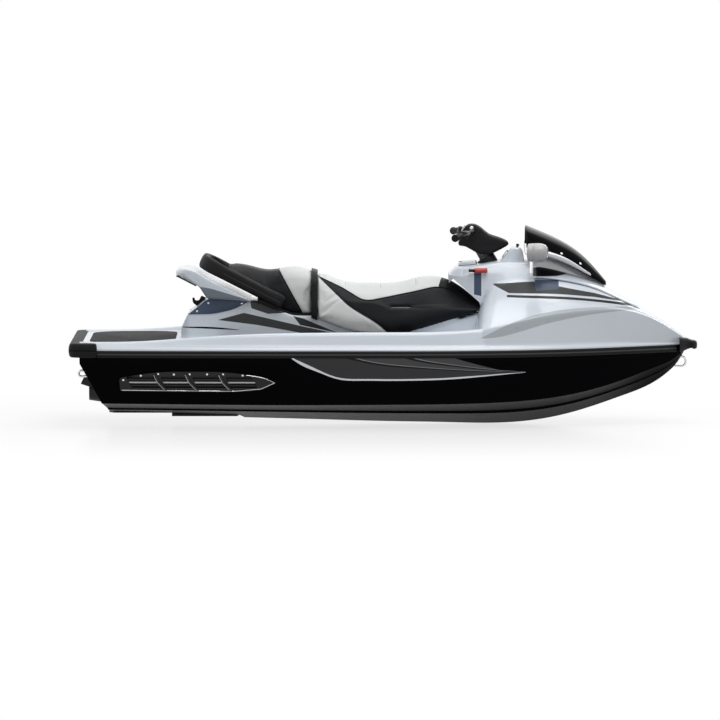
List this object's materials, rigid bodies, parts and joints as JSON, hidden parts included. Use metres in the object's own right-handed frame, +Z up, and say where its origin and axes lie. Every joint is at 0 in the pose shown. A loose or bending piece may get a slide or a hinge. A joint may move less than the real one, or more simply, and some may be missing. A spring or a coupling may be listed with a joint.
{
  "type": "personal watercraft",
  "caption": "Sit-on personal watercraft with lift-off stepped seat, turning handlebar, hinged hood and glovebox, and a jet pump with steering nozzle and reverse bucket.",
  "frame": {"origin": "amidships on the centreline, at the still waterline 250 mm above the lowest point of the keel", "axes": "+X to the bow, +Y to port, +Z up"},
  "size_m": [3.298, 1.2148, 1.0503],
  "materials": {
    "hull_black": "gloss",
    "deck_white": "gloss",
    "trim_black": "satin",
    "bumper_rubber": "matte",
    "mat_rubber": "ribbed",
    "seat_vinyl": "grained",
    "handle_padding": "soft",
    "panel_grey": "satin",
    "silver_paint": "metallic",
    "mirror_face": "polished",
    "visor_black": "high gloss",
    "pump_alloy": "cast",
    "steel": "brushed",
    "eye_steel": "polished",
    "lanyard_red": "satin",
    "bin_plastic": "matte"
  },
  "bodies": {
    "hull_unit": {"bow_bumper": "bumper_rubber", "bow_eye": "eye_steel", "deck": "deck_white", "engine": "pump_alloy", "footwell_mat_left": "mat_rubber", "footwell_mat_right": "mat_rubber", "front_bin": "bin_plastic", "fuel_cap": "trim_black", "gauge_cluster": "trim_black", "hull": "hull_black", "intake_grate": "pump_alloy", "lanyard_cap": "lanyard_red", "lanyard_clip": "trim_black", "platform_mat": "mat_rubber", "pump_housing": "pump_alloy", "ride_plate": "pump_alloy", "rub_rail": "bumper_rubber", "side_vent_left": "trim_black", "side_vent_right": "trim_black", "steering_console": "deck_white", "stern_bumper": "bumper_rubber", "stern_eye_left": "eye_steel", "stern_eye_right": "eye_steel", "tail_fairing": "deck_white", "tail_panel_left": "panel_grey", "tail_panel_right": "panel_grey", "tow_hook": "trim_black"},
    "seat_unit": {"seat_base": "trim_black", "seat_cushion_front": "seat_vinyl", "seat_cushion_rear": "seat_vinyl", "seat_strap": "seat_vinyl", "grab_handle": "handle_padding"},
    "steering_unit": {"handlebar": "steel", "grip_left": "bumper_rubber", "grip_right": "bumper_rubber", "switch_block_left": "trim_black", "switch_block_right": "trim_black", "throttle_lever": "trim_black", "steering_neck": "bumper_rubber", "handlebar_pad": "trim_black"},
    "hood_unit": {"hood": "deck_white", "windshield": "visor_black", "mirror_left": "silver_paint", "mirror_right": "silver_paint", "mirror_glass_left": "mirror_face", "mirror_glass_right": "mirror_face"},
    "glovebox_unit": {"glovebox_lid": "deck_white"},
    "nozzle_unit": {"steering_nozzle": "pump_alloy"},
    "bucket_unit": {"reverse_bucket": "pump_alloy"},
    "impeller_unit": {"impeller": "steel", "drive_shaft": "steel"}
  },
  "joints": [
    {"name": "seat_lift", "type": "slide", "parent": "hull_unit", "child": "seat_unit", "axis": [-0.769, 0, 0.6392], "range_m": [0, 0.45]},
    {"name": "handlebar_turn", "type": "hinge", "parent": "hull_unit", "child": "steering_unit", "pos_m": [0.54, 0, 0.612], "axis": [-0.4909, 0, 0.8712], "range_deg": [-28, 28]},
    {"name": "hood_hinge", "type": "hinge", "parent": "hull_unit", "child": "hood_unit", "pos_m": [1.35, 0, 0.35], "axis": [0, 1, 0], "range_deg": [0, 60]},
    {"name": "glovebox_hinge", "type": "hinge", "parent": "hull_unit", "child": "glovebox_unit", "pos_m": [0.482, 0, 0.602], "axis": [0, 1, 0], "range_deg": [0, 40]},
    {"name": "nozzle_turn", "type": "hinge", "parent": "hull_unit", "child": "nozzle_unit", "pos_m": [-1.452, 0, -0.078], "axis": [0, 0, 1], "range_deg": [-21, 21]},
    {"name": "bucket_drop", "type": "hinge", "parent": "hull_unit", "child": "bucket_unit", "pos_m": [-1.47, 0, -0.078], "axis": [0, -1, 0], "range_deg": [0, 62]},
    {"name": "impeller_spin", "type": "hinge", "parent": "hull_unit", "child": "impeller_unit", "pos_m": [-1.2, 0, -0.078], "axis": [1, 0, 0], "continuous": true}
  ],
  "couplings": [
    {"joint": "nozzle_turn", "follows": "handlebar_turn", "ratio": -0.75}
  ]
}
